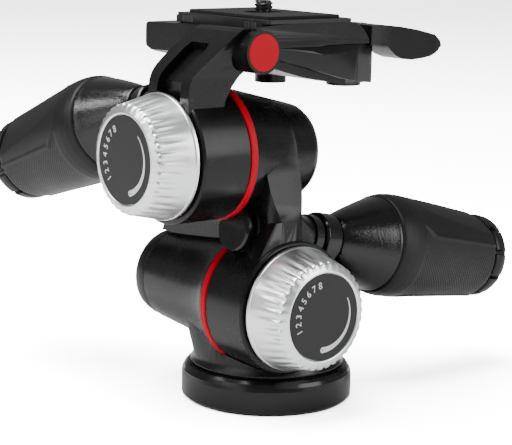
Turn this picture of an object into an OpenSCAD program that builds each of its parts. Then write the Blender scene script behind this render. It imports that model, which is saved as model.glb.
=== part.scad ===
// Three way pan tilt head: geared-free friction head with two crossed tilt barrels,
// a panning base, two retractable twist handles and a quick-release platform.
// Millimetres. +Z up, origin at the centre of the base's underside.
// Front (lens side) is -Y, the lower tilt barrel runs along X, the upper one along Y.

/* [Base and pan] */
// Radius of the base disc
base_r = 30; // [28:0.5:32]
// Height of the base disc's dome
base_h = 12.4; // [11:0.1:14]
// Radius of the neck above the base
neck_r = 25.9; // [24:0.1:27]
// Wall radius of the tripod thread
tripod_r = 4.76; // [3.17:0.01:8]

/* [Tilt barrels] */
// Y of the lower tilt axis
low_y = -10.4; // [-12:0.1:-9]
// Height of the lower tilt axis
low_z = 37.6; // [37:0.1:39]
// X of the lower red ring's middle
low_x = 5.8; // [5:0.1:7]
// Y of the upper red ring's middle
up_y = -25.2; // [-27:0.1:-24]
// Height of the upper tilt axis
up_z = 88.5; // [87:0.1:90]
// Outer radius of the turning drums
drum_r = 22.8; // [22:0.1:24]
// Radius of the steel tilt shafts
shaft_r = 6; // [5:0.1:7]
// Radius of the lower brake drum
brake_r = 19.3; // [18:0.1:19.5]
// Radius of the upper brake drum
brake_up_r = 17.2; // [17:0.1:18]

/* [Friction knobs] */
// Radius at the knob's back rim
knob_r = 21.2; // [20:0.1:22]
// Radius at the knob's front edge
knob_front_r = 18; // [17:0.1:19]
// Flutes round each knob
flutes = 36; // [24:1:48]

/* [Handles] */
// Largest radius of the rubber sleeve
sleeve_r = 18.6; // [17:0.1:19]
// Length of the rubber sleeve
sleeve_len = 50.5; // [45:0.5:55]

/* [Platform] */
// Width of the camera plate along X
plate_x = 50.2; // [48:0.1:52]
// Length of the camera plate along Y
plate_y = 36.4; // [34:0.1:42]
// Top of the camera plate without its pad
plate_z = 133.9; // [133:0.1:136]
// Radius of the camera screw (quarter inch)
cam_r = 3.175; // [3.1:0.005:4.76]

/* [Hidden] */
$fn = 64;
e = 0.01;
// clamp axis of the front tilt handle: seam centre and droop
rh = [11, 38, 51.8];
rh_el = 11;
// clamp axis of the side tilt handle
lh = [-46.5, -35, 93.6];
lh_el = 20.3;
lh_az = 184;
plate_cx = 0.8;
plate_cy = -5.2;
pin_xy = [-20, 15.5];
pivot_xy = [10, 23.7];
pan_az = 135;
pan_z = 20.5;

// ---- placing -------------------------------------------------------------
// local z runs outward to the knob, 0 is the red ring's middle
module at_lower() { translate([low_x, low_y, low_z]) rotate([0, 90, 0]) children(); }
module at_upper() { translate([0, up_y, up_z]) rotate([90, 0, 0]) children(); }
// local z runs outward along the handle, 0 is the seam between cone and sleeve
module at_right() { translate(rh) rotate([-90 - rh_el, 0, 0]) children(); }
module at_left() { translate(lh) rotate([0, 90 + lh_el, lh_az]) children(); }
// local z runs outward along the pan lock's axis
module at_pan_lock() { translate([0, 0, pan_z]) rotate([0, 90, pan_az]) children(); }

module tube(r1, r0, z0, z1) {
  translate([0, 0, z0])
    difference() {
      cylinder(r=r1, h=z1 - z0);
      translate([0, 0, -1]) cylinder(r=r0, h=z1 - z0 + 2);
    }
}
module rod(r, z0, z1) { translate([0, 0, z0]) cylinder(r=r, h=z1 - z0); }
module bar(x0, x1, y0, y1, z0, z1) { translate([x0, y0, z0]) cube([x1 - x0, y1 - y0, z1 - z0]); }
// rounded rectangle with exact corners
module rrect(x0, x1, y0, y1, r) {
  translate([x0 + r, y0]) square([x1 - x0 - 2 * r, y1 - y0]);
  translate([x0, y0 + r]) square([x1 - x0, y1 - y0 - 2 * r]);
  for (x = [x0 + r, x1 - r])
    for (y = [y0 + r, y1 - r])
      translate([x, y]) circle(r=r);
}

// ---- base ----------------------------------------------------------------
module base_disc() {
  color("#1b1b1c")
    difference() {
      rotate_extrude()
        polygon([[15, 0.6], [29.4, 0.6], [base_r, 1.3], [base_r, 8.6], [29.75, 9.9],
          [29.1, 11.1], [28.3, 12.0], [27.5, base_h], [26.9, base_h], [26.9, 9.4], [15, 9.4]]);
      // recess for the friction pad under the disc
      tube(28.8, 20.4, 0, 1.2);
      // counterbore that takes the retaining ring and the tripod plate
      rod(17.2, 0, 4.3);
      rod(20, 0, 2.6);
      for (a = [90, 210, 330])
        rotate([0, 0, a]) translate([18.4, 0, 2]) cylinder(r=0.95, h=4.5);
    }
}
module base_pad() {
  color("#222222") tube(28.6, 20.6, 0, 1.18);
}
module tripod_plate() {
  color("#b9b9b6")
    difference() {
      union() {
        rod(19.9, 0.6, 2.5);
        rod(8.4, 0.6, 10);
      }
      rod(tripod_r, 0, 9.2);
      translate([0, 0, 0.5]) cylinder(r1=5.5, r2=tripod_r, h=0.8);
      for (a = [90, 210, 330])
        rotate([0, 0, a]) translate([18.4, 0, 0]) cylinder(r=1.05, h=4);
    }
}
module tripod_plate_screws() {
  color("#9a9a9a")
    for (a = [90, 210, 330])
      rotate([0, 0, a]) translate([18.4, 0, 0])
        rod(0.93, 0.7, 5.4);
}
module pan_bush() {
  color("#b08d4a") tube(14.98, 13.05, 4.5, 9.3);
}
module pan_friction_ring() {
  color("#d8d2c0")
    tube(25.6, 17, 9.42, 10.2);
}

// ---- pan housing with the lower barrel ------------------------------------
module pan_housing() {
  color("#2b2b2c")
    difference() {
      union() {
        // neck with its flared rim and the spigot that hangs in the base
        rotate_extrude()
          polygon([[8.7, 4.2], [13, 4.2], [13, 10.3], [26.4, 10.3], [26.4, 12.7], [27, 12.9],
            [27, 13.3], [26.4, 14.2], [26.05, 15.2], [neck_r, 16.4], [neck_r, 21.2],
            [25.3, 22], [24, 22.4], [8.7, 22.4]]);
        // barrel
        at_lower() rotate_extrude()
          polygon([[0, -1.5], [22.0, -1.5], [22.3, -1.9], [21.1, -5.5], [20.1, -10],
            [19.3, -15], [18.7, -20], [17.7, -30], [16.6, -43.5], [0, -43.5]]);
        // saddle between barrel and neck
        hull() {
          at_lower() translate([0, 0, -20]) cylinder(r=17, h=18, $fn=48);
          translate([0, 0, 15]) intersection() {
            cylinder(r=neck_r - 0.1, h=6.5, $fn=48);
            bar(-40, 4.2, -40, 40, -1, 10);
          }
        }
        // level housing along the barrel's top
        translate([0, -15, 0]) rotate([90, 0, 0]) mirror([0, 0, 1]) linear_extrude(12.4)
          polygon([[-44.3, 50.6], [-41.9, 57], [-40.9, 59.4], [-39.2, 60.6], [-10, 61],
            [-7.4, 60], [-5.6, 57], [-5, 46], [-44, 46]]);
        // pan lock boss at the back
        at_pan_lock() rod(7.9, 12, 31.5);
      }
      // spigot bore over the tripod plate's boss
      rod(8.75, 3, 10.6);
      // clearance for the turning drum and its brake
      at_lower() rod(drum_r + 0.4, -1.5 + e, 40);
      // hollow barrel
      at_lower() rod(12.6, -44, -24);
      at_lower() rod(shaft_r + 0.02, -30, 0);
      // seat of the end cap over the level housing's end
      at_lower() rod(16.9, -60, -43.52);
      // level vial pocket and window in the sloping top
      translate([-24, -8.2, 57.2]) rotate([0, 90, 0]) translate([0, 0, -11.1]) cylinder(r=3.5, h=22.2);
      bar(-32, -16, -10.6, -5.8, 57, 62);
      // pan lock bore, brake pocket and retaining screw holes
      at_pan_lock() rod(3.05, 13, 40);
      rotate([0, 0, pan_az]) bar(15, 23, -3.6, 3.6, 10, 24.05);
    }
}
module pan_retaining_ring() {
  color("#8f9092")
    difference() {
      tube(16.6, 8.75, 2.9, 4.15);
      for (a = [0, 180])
        rotate([0, 0, a]) translate([13.2, 0, 2]) cylinder(r=1.2, h=4);
    }
}
module pan_brake_pad() {
  color("#b08d4a")
    rotate([0, 0, pan_az])
      difference() {
        bar(15.2, 22.8, -3.5, 3.5, 10.22, 23.8);
        translate([19, 0, pan_z]) rotate([0, 90, 0]) cylinder(r=3.2, h=10);
      }
}
module pan_level_vial() {
  color("#c9d94a")
    translate([-24, -8.2, 57.2]) rotate([0, 90, 0]) rod(3.4, -11, 11);
}
module pan_lock_knob() {
  color("#202021")
    at_pan_lock()
      difference() {
        rotate_extrude()
          polygon([[3.0, 32], [7.6, 32], [9.2, 33], [11, 35.5], [11.4, 38], [11, 43.5], [9.8, 45.4],
            [8, 46], [0, 46], [0, 43], [3.0, 43]]);
        for (i = [0:7])
          rotate([0, 0, i * 45]) translate([12.9, 0, 34]) cylinder(r=2.6, h=13);
      }
}
module pan_lock_stud() {
  color("#a9a9a9") at_pan_lock() rod(2.98, 19.3, 42.9);
}
module lower_end_cap() {
  color("#262627")
    at_lower()
      difference() {
        rotate_extrude()
          polygon([[0, -43.8], [16.1, -43.8], [16.4, -44.2], [16.2, -47.3], [15.7, -49.7],
            [14.6, -51.1], [13, -51.6], [0, -51.6]]);
        rod(10.6, -53, -51.1);
      }
}
module red_ring() {
  rotate_extrude()
    polygon([[brake_r + 0.05, -1.4], [22.7, -1.4], [23.1, -1], [23.1, 1], [22.7, 1.4],
             [brake_r + 0.05, 1.4]]);
}
module lower_red_ring() { color("#d3202c") at_lower() red_ring(); }
module upper_red_ring() { color("#d3202c") at_upper() red_ring(); }

module tilt_shaft(back) {
  difference() {
    union() {
      rod(shaft_r, back, 33.6);
      rod(shaft_r - 0.6, 33, 34.4);
    }
  }
}
module lower_tilt_shaft() { color("#a7a8aa") at_lower() tilt_shaft(-29.9); }
module upper_tilt_shaft() { color("#a7a8aa") at_upper() tilt_shaft(-22); }

module brake_drum(r) {
  difference() {
    union() {
      rod(brake_r, -1.48, 1.5);
      rod(r, -1.48, 14.8);
    }
    tube(13.4, 9.4, 2, 15.8);
    rod(shaft_r + 0.02, -3, 16);
  }
}
module lower_brake_drum() { color("#6f7072") at_lower() brake_drum(brake_r); }
module upper_brake_drum() { color("#6f7072") at_upper() brake_drum(brake_up_r); }

// turning drum, cut open inside by drum_bore
module drum_shell() {
  rotate_extrude()
    polygon([[0, 1.6], [22.4, 1.6], [drum_r, 2], [drum_r, 20], [22.2, 20.6], [0, 20.6]]);
}
module drum_bore(r) {
  if (r < brake_r) rod(brake_r + 0.35, 1, 2);
  rod(r + 0.35, 0.9, 15.2);
  rod(8.5, 10, 21);
}
module tilt_bush() { tube(8.48, shaft_r + 0.05, 15.25, 20.55); }
module lower_tilt_bush() { color("#b08d4a") at_lower() tilt_bush(); }
module upper_tilt_bush() { color("#b08d4a") at_upper() tilt_bush(); }
module friction_discs() {
  tube(13, shaft_r + 0.1, 20.62, 21.3);
  tube(13, shaft_r + 0.1, 21.4, 22.1);
}
module spring_washers() {
  rotate_extrude()
    polygon([[6.3, 22.7], [12, 22.2], [12, 22.7], [6.3, 23.2]]);
  rotate_extrude()
    polygon([[6.3, 23.3], [12, 23.8], [12, 24.3], [6.3, 23.8]]);
}
module lower_friction_discs() { color("#c8bb98") at_lower() friction_discs(); }
module upper_friction_discs() { color("#c8bb98") at_upper() friction_discs(); }
module lower_spring_washers() { color("#b5b7b9") at_lower() spring_washers(); }
module upper_spring_washers() { color("#b5b7b9") at_upper() spring_washers(); }

// ---- friction knobs --------------------------------------------------------
module friction_knob() {
  flute_tilt = atan((knob_r - 0.2 - knob_front_r - 0.5) / 12.4);
  difference() {
    rotate_extrude()
      polygon([[8.6, 21.1], [20.7, 21.1], [knob_r, 21.6], [knob_r, 22.4], [20.9, 22.9],
        [knob_front_r + 0.3, 34.6], [knob_front_r, 35.1], [15.4, 36.5], [14.9, 36.4], [14.7, 35.7],
        [8.6, 35.7]]);
    rod(15.2, 20, 25.2);
    for (i = [0:flutes - 1])
      rotate([0, 0, i * 360 / flutes])
        translate([knob_r + 1.35, 0, 22.2]) rotate([0, -flute_tilt - 2.6, 0]) cylinder(r=1.5, h=13.6);
  }
}
module knob_face() { rod(14.6, 35.72, 36.2); }
module knob_nut() {
  difference() {
    rod(8.55, 25.3, 35.6);
    rod(shaft_r + 0.06, 24, 34.8);
  }
}
module lower_friction_knob() { color("#d9dadb") at_lower() friction_knob(); }
module upper_friction_knob() { color("#d9dadb") at_upper() friction_knob(); }
module lower_knob_face() { color("#3a3a3c") at_lower() knob_face(); }
module upper_knob_face() { color("#3a3a3c") at_upper() knob_face(); }
module lower_knob_nut() { color("#b08d4a") at_lower() knob_nut(); }
module upper_knob_nut() { color("#b08d4a") at_upper() knob_nut(); }

// ---- middle frame ----------------------------------------------------------
module middle_frame() {
  color("#2b2b2c")
    difference() {
      union() {
        at_lower() drum_shell();
        // arm between the two barrels
        intersection() {
          translate([0, 0, 48]) linear_extrude(58) rrect(-2, 25.4, -18.5, -4.4, 4.6);
          front_profile(-22, 0)
            polygon([[12.9, 44], [28, 44], [25.6, 66], [24.4, 71], [22.6, 77], [21, 82], [19.9, 87],
                     [18.7, 92],
                     [17, 96.2], [14.2, 100.2], [10.6, 102.9], [8.6, 103.4], [0, 103.4], [0, 70], [12.9, 70]]);
        }
        // upper barrel, a cone leaning down a little to its rounded back end
        difference() {
          at_upper() rotate([-3.6, -0.9, 0]) rotate_extrude()
            polygon([[0, 3], [22.9, 3], [17.04, -29.2], [16.5, -31.6], [15.2, -33.6], [13.2, -34.9],
                     [10.6, -35.5], [0, -35.5]]);
          at_upper() rod(30, -1.5, 6);
        }
        // clamp boss across the arm and its fin
        at_right() rotate_extrude()
          polygon([[0, -59.6], [7.7, -59.6], [8.2, -59.1], [8.2, -57.6], [7.4, -56.9], [7.2, -45],
                   [0, -45]]);
        hull() {
          at_right() translate([0, 0, -48]) cylinder(r=7, h=15.6, $fn=48);
          bar(13, 20.5, -6, -4.6, 51, 68);
        }
        // foot of the arm, flared forward over the drum
        hull() {
          bar(13.4, 25.2, -18, -12, 60, 67);
          bar(24.4, 25.2, -27.6, -26, 48.6, 50.8);
          bar(9, 12, -21.6, -17, 53, 56.6);
        }
      }
      at_lower() drum_bore(brake_r);
      // running clearance over the fixed barrel and ring
      at_lower() rod(23.5, -30, 1.5);
      at_upper() rod(shaft_r + 0.02, -22.3, 2);
      // relief for the handle's washer and collar
      at_right() rod(7.75, -32.46, -28.5);
      at_right() rod(9.2, -28.6, -18);
      // seat of the clamp's cap under the barrel, then the clamp bore
      at_right() rod(8.25, -66, -59.58);
      at_right() rod(5.6, -56.2, -33.9);
      at_right() rod(3.1, -61, -32);
    }
}
module half_shoe(z0, z1) {
  difference() {
    rod(5.5, z0, z1);
    rod(3.1, z0 - 1, z1 + 1);
  }
}
module lower_clamp_shoes() {
  color("#b08d4a")
    difference() {
      at_right() union() { half_shoe(-55.4, -50.4); half_shoe(-45.4, -34.4); }
      at_lower() rod(brake_r + 0.06, 0, 16);
      at_lower() rod(23.5, -10, 1.58);
    }
}
module lower_clamp_cap() {
  color("#262627")
    difference() {
      at_right()
        rotate_extrude()
          polygon([[0, -64.2], [7.3, -64.2], [8, -63.5], [8, -62.4], [7.3, -61.7], [6.2, -61.6],
            [6.2, -59.66], [3.02, -59.66], [3.02, -62.6], [0, -62.6]]);
      // room for the two red rings
      at_upper() rod(23.35, -1.6, 6);
      at_lower() rod(23.35, -10, 1.6);
    }
}
module lower_clamp_washer() {
  color("#101011")
    difference() {
      at_right() tube(7.7, 3.1, -32.36, -29.1);
      at_lower() rod(23.5, -10, 1.58);
    }
}

// ---- top frame --------------------------------------------------------------
// profiles are carried along X (side views) or along Y (front views)
module side_profile(x0, x1) { translate([x0, 0, 0]) rotate([90, 0, 90]) linear_extrude(x1 - x0) children(); }
module front_profile(y0, y1) { translate([0, y1, 0]) rotate([90, 0, 0]) linear_extrude(y1 - y0) children(); }
module yoke() {
  intersection() {
    side_profile(-12, 26)
      polygon([[-46.2, 98], [-46.8, 103], [-47, 109], [-46.6, 113], [-45.6, 115.8], [-43.4, 118.6],
        [-32, 130.2], [-30.4, 131.2], [-26, 131.2], [-24, 130], [-24, 118.4], [-26.6, 115.4],
        [-29.6, 111.8], [-32, 107.6], [-33, 104], [-33, 98]]);
    front_profile(-50, -20)
      polygon([[-6.8, 98], [-7.3, 104], [-7.4, 118], [-6.4, 122.8], [-2, 130], [-1.2, 131.4], [22.2, 131.4],
        [21.8, 130], [15.2, 115], [15, 98]]);
  }
}
module platform() {
  // slab: plan, front view and side view cut each other
  intersection() {
    translate([0, 0, 100]) linear_extrude(40)
      polygon([[-41.9, -21.8], [-41.3, -24.2], [-39.2, -25.5], [-10, -27.4], [20, -28.2], [23, -27.4],
               [24, -25.4], [24, 22.4], [23, 23.4], [6, 23.4], [-33, 19], [-39, 17], [-41.4, 13]]);
    front_profile(-40, 40)
      polygon([[-41.9, 124], [-41.2, 122.2], [-34.8, 119.7], [-28.5, 119.1], [26, 119.1], [26, 131.4],
        [20, 131.3], [-37.6, 129.9], [-39.6, 129.1], [-41, 127.6]]);
    side_profile(-45, 24)
      polygon([[-30, 122.4], [-24, 119.4], [-18, 119], [-17, 122.6], [-9.6, 123.9], [4.8, 125.1],
               [30, 125.1],
               [30, 126], [22.2, 126.8], [20, 129.8], [17.4, 131.6], [14, 132.7], [-30, 132.7]]);
  }
  // left wing keeps its full depth
  intersection() {
    translate([0, 0, 100]) linear_extrude(40)
      polygon([[-41.9, -21.8], [-41.3, -24.2], [-39.2, -25.5], [-26, -26], [-26, 19], [-33, 19], [-39, 17],
        [-41.4, 13]]);
    front_profile(-40, 40)
      polygon([[-41.9, 124], [-41.2, 122.2], [-34.8, 119.7], [-26, 119.1], [-26, 129.4],
        [-37.6, 129.4], [-39.6, 129.1], [-41, 127.6]]);
    side_profile(-45, -20)
      polygon([[-30, 122.8], [-25.4, 122], [-22, 119], [14, 119], [19, 123], [19, 130], [-30, 130]]);
  }
  // rail beside the camera plate
  side_profile(22.4, 24)
    polygon([[-27, 130], [-26.6, 131.4], [-25.4, 131.8], [-15.8, 132.4], [-8.6, 132.6], [13.4, 132.6],
             [16.6, 132], [18.9, 130.8], [20.6, 129], [20.6, 126], [-27, 126]]);
  // wedge-shaped housing of the plate lock
  intersection() {
    translate([0, 0, 100]) linear_extrude(40)
      polygon([[24, -18], [26, 2], [26, 14.4], [25.2, 16.6], [18.6, 29], [16.4, 30.6], [-18, 30.6],
               [-23, 28.4], [-27, 21], [-27, -18]]);
    front_profile(-40, 40)
      polygon([[-27.6, 100], [26, 100], [26, 121.7], [25.4, 123.4], [23.6, 125.2], [-26, 125.2],
               [-27.6, 123]]);
    side_profile(-45, 30)
      polygon([[-18, 121.2], [-15, 120.2], [-8.1, 118.6], [0.7, 116.1], [8.3, 114.1], [12, 113.3],
               [20, 112], [28, 111], [31.4, 111.2], [31.4, 122.8], [29.6, 125.2], [-18, 125.2]]);
  }
  // belly of the housing
  intersection() {
    translate([0, 0, 100]) linear_extrude(25)
      polygon([[20, -17], [22, 14], [15, 29.4], [-16, 29.4], [-23, 20], [-23, -17]]);
    side_profile(-45, 30)
      polygon([[-17, 119], [-16, 118], [-12, 116.5], [-4.6, 114.5], [2.5, 113.1], [7.8, 112.2], [14, 111.4],
        [24, 110.9], [29.4, 110.8], [29.4, 124], [-17, 124]]);
  }
}
module top_frame() {
  color("#2b2b2c")
    difference() {
      union() {
        at_upper() drum_shell();
        yoke();
        platform();
        at_left() rotate_extrude()
          polygon([[0, -52], [6.6, -52], [7.1, -51.5], [7.1, -32.4], [0, -32.4]]);
        // badge boss
        translate([0, -25.4, 123.8]) rotate([0, 90, 0]) rod(7, 16, 26.4);
        // trip pin boss and lever pivot boss
        translate([pin_xy[0], pin_xy[1], 0]) rod(5.6, 108.4, 118);
        translate([pivot_xy[0], pivot_xy[1], 0]) rod(8, 111.5, 118);
      }
      at_upper() drum_bore(brake_up_r);
      // running clearance over the red ring, and behind the knob
      at_upper() rod(23.5, -8, 1.5);
      at_upper() rod(21.6, 20.6, 30);
      // clamp bore of the side tilt handle
      at_left() rod(6.4, -32.46, -25.5);
      at_left() rod(7.9, -26.12, -18);
      at_left() rod(5.6, -47.4, -33.9);
      at_left() rod(3.1, -50.2, -32);
      // channel down the yoke's face
      intersection() {
        side_profile(-12, 26)
          polygon([[-50, 96], [-43.8, 96], [-43.8, 113.4], [-42.6, 115.2], [-34.4, 123.6], [-36.4, 126.6],
            [-40, 130], [-50, 130]]);
        front_profile(-60, -20)
          polygon([[-2.6, 96], [-2.4, 114], [0.4, 124], [2.2, 126.6], [10.4, 126.6], [11.8, 125.2],
            [11.2, 118.4], [10.6, 113], [10.4, 96]]);
      }
      // badge seat
      translate([0, -25.4, 123.8]) rotate([0, 90, 0]) rod(6.15, 25.5, 28);
      // channel for the camera plate's dovetail, open to the front top
      front_profile(plate_cy - 19, plate_cy + 19)
        polygon([[-24.7, 130.5], [-24.7, 134], [22.3, 134], [22.3, 130.6], [21.4, 130.4], [22.6, 126.6],
          [-23.4, 126.6], [-22.2, 130.2], [-22.2, 130.5]]);
      // lever pocket and its way out to the back
      translate([pivot_xy[0], pivot_xy[1], 0]) rod(8.5, 124.2, 134);
      bar(5.4, 24.2, 23.7, 40, 124.2, 134);
      translate([pivot_xy[0], pivot_xy[1], 0]) rod(3.06, 100, 125);
      translate([pivot_xy[0], pivot_xy[1], 0]) tube(5.9, 4.1, 112.7, 125);
      translate([pivot_xy[0], pivot_xy[1], 0]) rod(6.3, 100, 112.5);
      // trip pin bore
      translate([pin_xy[0], pin_xy[1], 0]) rod(1.55, 100, 130);
      translate([pin_xy[0], pin_xy[1], 0]) rod(3.2, 112, 122);
      // level vial seats in the platform's left wing and back edge
      translate([-32.4, -4, 126.6]) rotate([-90, 0, 0]) rod(3.1, -9, 9);
      bar(-34.8, -30, -9, 1, 126.6, 134);
      translate([-10, 18.6, 126.9]) rotate([0, 90, 0]) rod(2.35, -8, 8);
      bar(-16, -4, 16.9, 20.3, 127, 134);
    }
}
module badge_disc() {
  color("#d3202c")
    translate([0, -25.4, 123.8]) rotate([0, 90, 0]) rod(6.08, 25.55, 26.5);
}
module platform_level_vials() {
  color("#c9d94a")
    union() {
      translate([-32.4, -4, 126.6]) rotate([-90, 0, 0]) rod(3, -8.8, 8.8);
      translate([-10, 18.6, 126.9]) rotate([0, 90, 0]) rod(2.25, -7.8, 7.8);
    }
}
module upper_clamp_shoes() {
  color("#b08d4a")
    difference() {
      at_left() half_shoe(-46.6, -34.2);
      at_upper() rod(brake_up_r + 0.06, 0, 16);
      at_upper() rod(23.5, -10, 1.58);
    }
}
module upper_clamp_washer() {
  color("#101011")
    difference() {
      at_left() tube(6.2, 3.1, -32.36, -29.1);
      at_upper() rod(23.5, -10, 1.58);
    }
}

// ---- camera plate and its lock ----------------------------------------------
module camera_plate() {
  color("#303031")
    difference() {
      union() {
        translate([plate_cx, plate_cy, 132.75]) linear_extrude(plate_z - 132.75)
          rrect(-plate_x / 2, plate_x / 2, -plate_y / 2, plate_y / 2, 1.4);
        front_profile(plate_cy - plate_y / 2, plate_cy + plate_y / 2)
          polygon([[-24.2, 130.6], [-24.2, 133], [22.2, 133], [22.2, 130.7], [21.2, 130.5], [22.2, 127],
            [-23, 127], [-21.9, 130.3], [-21.9, 130.6]]);
      }
      translate([plate_cx, plate_cy, 0]) rod(8.2, 126, 130.8);
      translate([plate_cx, plate_cy, 0]) rod(cam_r + 0.06, 126, 140);
      // ribbed stops on the front edge
      for (x = [-21.4, 12.8])
        bar(x, x + 7, -40, plate_cy - plate_y / 2 + 0.5, 126, 133.3);
    }
}
module camera_plate_pad() {
  color("#1c1c1d")
    difference() {
      translate([plate_cx, plate_cy, plate_z]) linear_extrude(1.1)
        difference() {
          rrect(-plate_x / 2 + 2.8, plate_x / 2 - 2.8, -plate_y / 2 + 2.8, plate_y / 2 - 2.8, 1.6);
          rrect(-4.6, 4.6, -7, 7, 4.4);
        }
    }
}
module camera_screw() {
  color("#3b3b3c")
    translate([plate_cx, plate_cy, 0])
      difference() {
        union() {
          rod(2.6, 129, 135.2);
          rod(cam_r, 135.1, 138.4);
          translate([0, 0, 138.4]) cylinder(r1=cam_r, r2=cam_r - 0.6, h=0.6);
          rod(7.6, 127.9, 130.4);
        }
        bar(-9, 9, -0.8, 0.8, 127, 129.2);
      }
}
module release_lever() {
  color("#242425")
    difference() {
      union() {
        translate([pivot_xy[0], pivot_xy[1], 0]) rod(8, 124.5, 131);
        // finger arm: side view and plan cut each other
        intersection() {
          side_profile(5, 24)
            polygon([[24, 124.5], [30.9, 124.5], [33, 122.6], [36, 120.3], [39.6, 118.9], [44.4, 118.4],
                     [50, 118.8],
                     [54, 119.4], [58, 121], [60.4, 122.8], [59.4, 124.6], [55.6, 126.9], [47, 128.8], [38, 130.2],
                     [30, 131], [24, 131]]);
          translate([0, 0, 110]) linear_extrude(25)
            polygon([[4, 20], [22, 20], [23.4, 24.4], [23.2, 34], [22.4, 46], [22, 56], [20.6, 60.6],
                     [14.6, 60.6], [13, 57], [12.8, 42], [11.4, 33], [6, 28]]);
        }
      }
      translate([pivot_xy[0], pivot_xy[1], 0]) rod(3.1, 120, 140);
    }
}
module lever_pivot_screw() {
  color("#8d8e90")
    translate([pivot_xy[0], pivot_xy[1], 0])
      difference() {
        union() {
          rod(6, 109.7, 112.48);
          rod(3, 112.4, 130.8);
        }
        rotate([0, 0, 20]) bar(-4, 4, -0.7, 0.7, 108, 110.7);
      }
}
module lever_spring() {
  color("#a9abad")
    translate([pivot_xy[0], pivot_xy[1], 0]) tube(5.6, 4.4, 112.8, 123.9);
}
module trip_pin_spring() {
  color("#a9abad")
    translate([pin_xy[0], pin_xy[1], 0]) tube(2.9, 1.8, 112.1, 117.5);
}
module trip_pin() {
  color("#b7b8ba")
    translate([pin_xy[0], pin_xy[1], 0])
      union() {
        rod(1.5, 110, 126.95);
        rod(3, 117.6, 119);
      }
}

// ---- handles ---------------------------------------------------------------
module lock_rod(tip) {
  difference() {
    union() {
      rod(2.98, tip, -28);
      rod(4.98, -28.4, 44);
    }
    rod(3.4, -18, 45);
  }
}
module collar(r, back) {
  rotate_extrude()
    polygon([[5, back], [r - 0.7, back], [r, back + 0.7], [r, -21.7], [r - 0.7, -21], [5, -21]]);
}
module cone() {
  difference() {
    rotate_extrude()
      polygon([[5.06, -20.6], [7.9, -20.6], [8.5, -20], [10.9, -15], [13.1, -10], [15.2, -5], [16.7, -1],
        [17, -0.2], [14.6, -0.2], [12.2, -4], [8, -12], [5.06, -14]]);
  }
}
module grip_core() {
  rotate_extrude()
    polygon([[5.06, -13.6], [7.4, -12], [11.9, -3.4], [12, -2], [12, 50.4], [5.06, 50.4]]);
}
// two opposite flats that deepen towards the end, normal at angle a
module grip_flats(a) {
  for (i = [0, 180])
    rotate([0, 0, a + i]) translate([18.4, 0, 12]) rotate([0, -7.4, 0])
      translate([0, -20, -2]) cube([20, 40, 60]);
}
module sleeve(a) {
  difference() {
    rotate_extrude()
      polygon([[12.05, -0.1], [17.0, -0.1], [17.6, 0.5], [18.3, 3], [sleeve_r, 6], [sleeve_r, 8.6],
               [18.4, 12], [17.9, 20], [17.2, 30], [16.4, 41], [15.9, 49], [15.5, sleeve_len - 0.2],
               [12.05, sleeve_len - 0.2]]);
    grip_flats(a);
  }
}
module end_cap(a) {
  difference() {
    rotate_extrude()
      polygon([[0, 50.8], [14.9, 50.8], [15.4, 51.2], [15.4, 54], [14.9, 56], [13.9, 57.4], [12.2, 58],
        [10.8, 57.8], [10.2, 57], [0, 57]]);
    for (i = [0:9])
      rotate([0, 0, a + 18 + i * 36]) translate([13.4, -1.7, 54.4]) cube([4, 3.4, 6]);
    grip_flats(a);
  }
}
module right_lock_rod() { color("#9fa0a2") at_right() lock_rod(-62.4); }
module left_lock_rod() { color("#9fa0a2") at_left() lock_rod(-49.8); }
module right_collar() { color("#2f2f30") at_right() collar(8.8, -28.4); }
module left_collar() { color("#2f2f30") at_left() collar(7.6, -26); }
module right_cone() { color("#151516") at_right() cone(); }
module left_cone() { color("#151516") at_left() cone(); }
module right_sleeve() { color("#313132") at_right() sleeve(0); }
module left_sleeve() { color("#313132") at_left() sleeve(150); }
module right_grip_core() { color("#1d1d1e") at_right() grip_core(); }
module left_grip_core() { color("#1d1d1e") at_left() grip_core(); }
module right_end_cap() { color("#232324") at_right() end_cap(0); }
module left_end_cap() { color("#232324") at_left() end_cap(150); }

// ---- what is drawn -----------------------------------------------------------
base_disc();
base_pad();
tripod_plate();
tripod_plate_screws();
pan_bush();
pan_friction_ring();
pan_housing();
pan_retaining_ring();
pan_brake_pad();
pan_level_vial();
pan_lock_knob();
pan_lock_stud();
lower_end_cap();
lower_red_ring();
lower_tilt_shaft();
lower_brake_drum();
middle_frame();
lower_tilt_bush();
lower_clamp_shoes();
lower_clamp_cap();
lower_clamp_washer();
lower_friction_discs();
lower_spring_washers();
lower_friction_knob();
lower_knob_face();
lower_knob_nut();
upper_red_ring();
upper_tilt_shaft();
upper_brake_drum();
top_frame();
upper_tilt_bush();
upper_clamp_shoes();
upper_clamp_washer();
upper_friction_discs();
upper_spring_washers();
upper_friction_knob();
upper_knob_face();
upper_knob_nut();
badge_disc();
platform_level_vials();
right_lock_rod();
right_collar();
right_cone();
right_sleeve();
right_grip_core();
right_end_cap();
left_lock_rod();
left_collar();
left_cone();
left_sleeve();
left_grip_core();
left_end_cap();
camera_plate();
camera_plate_pad();
camera_screw();
release_lever();
lever_pivot_screw();
lever_spring();
trip_pin();
trip_pin_spring();
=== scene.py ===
import math

import bmesh
import bpy
from mathutils import Matrix, Vector


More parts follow.
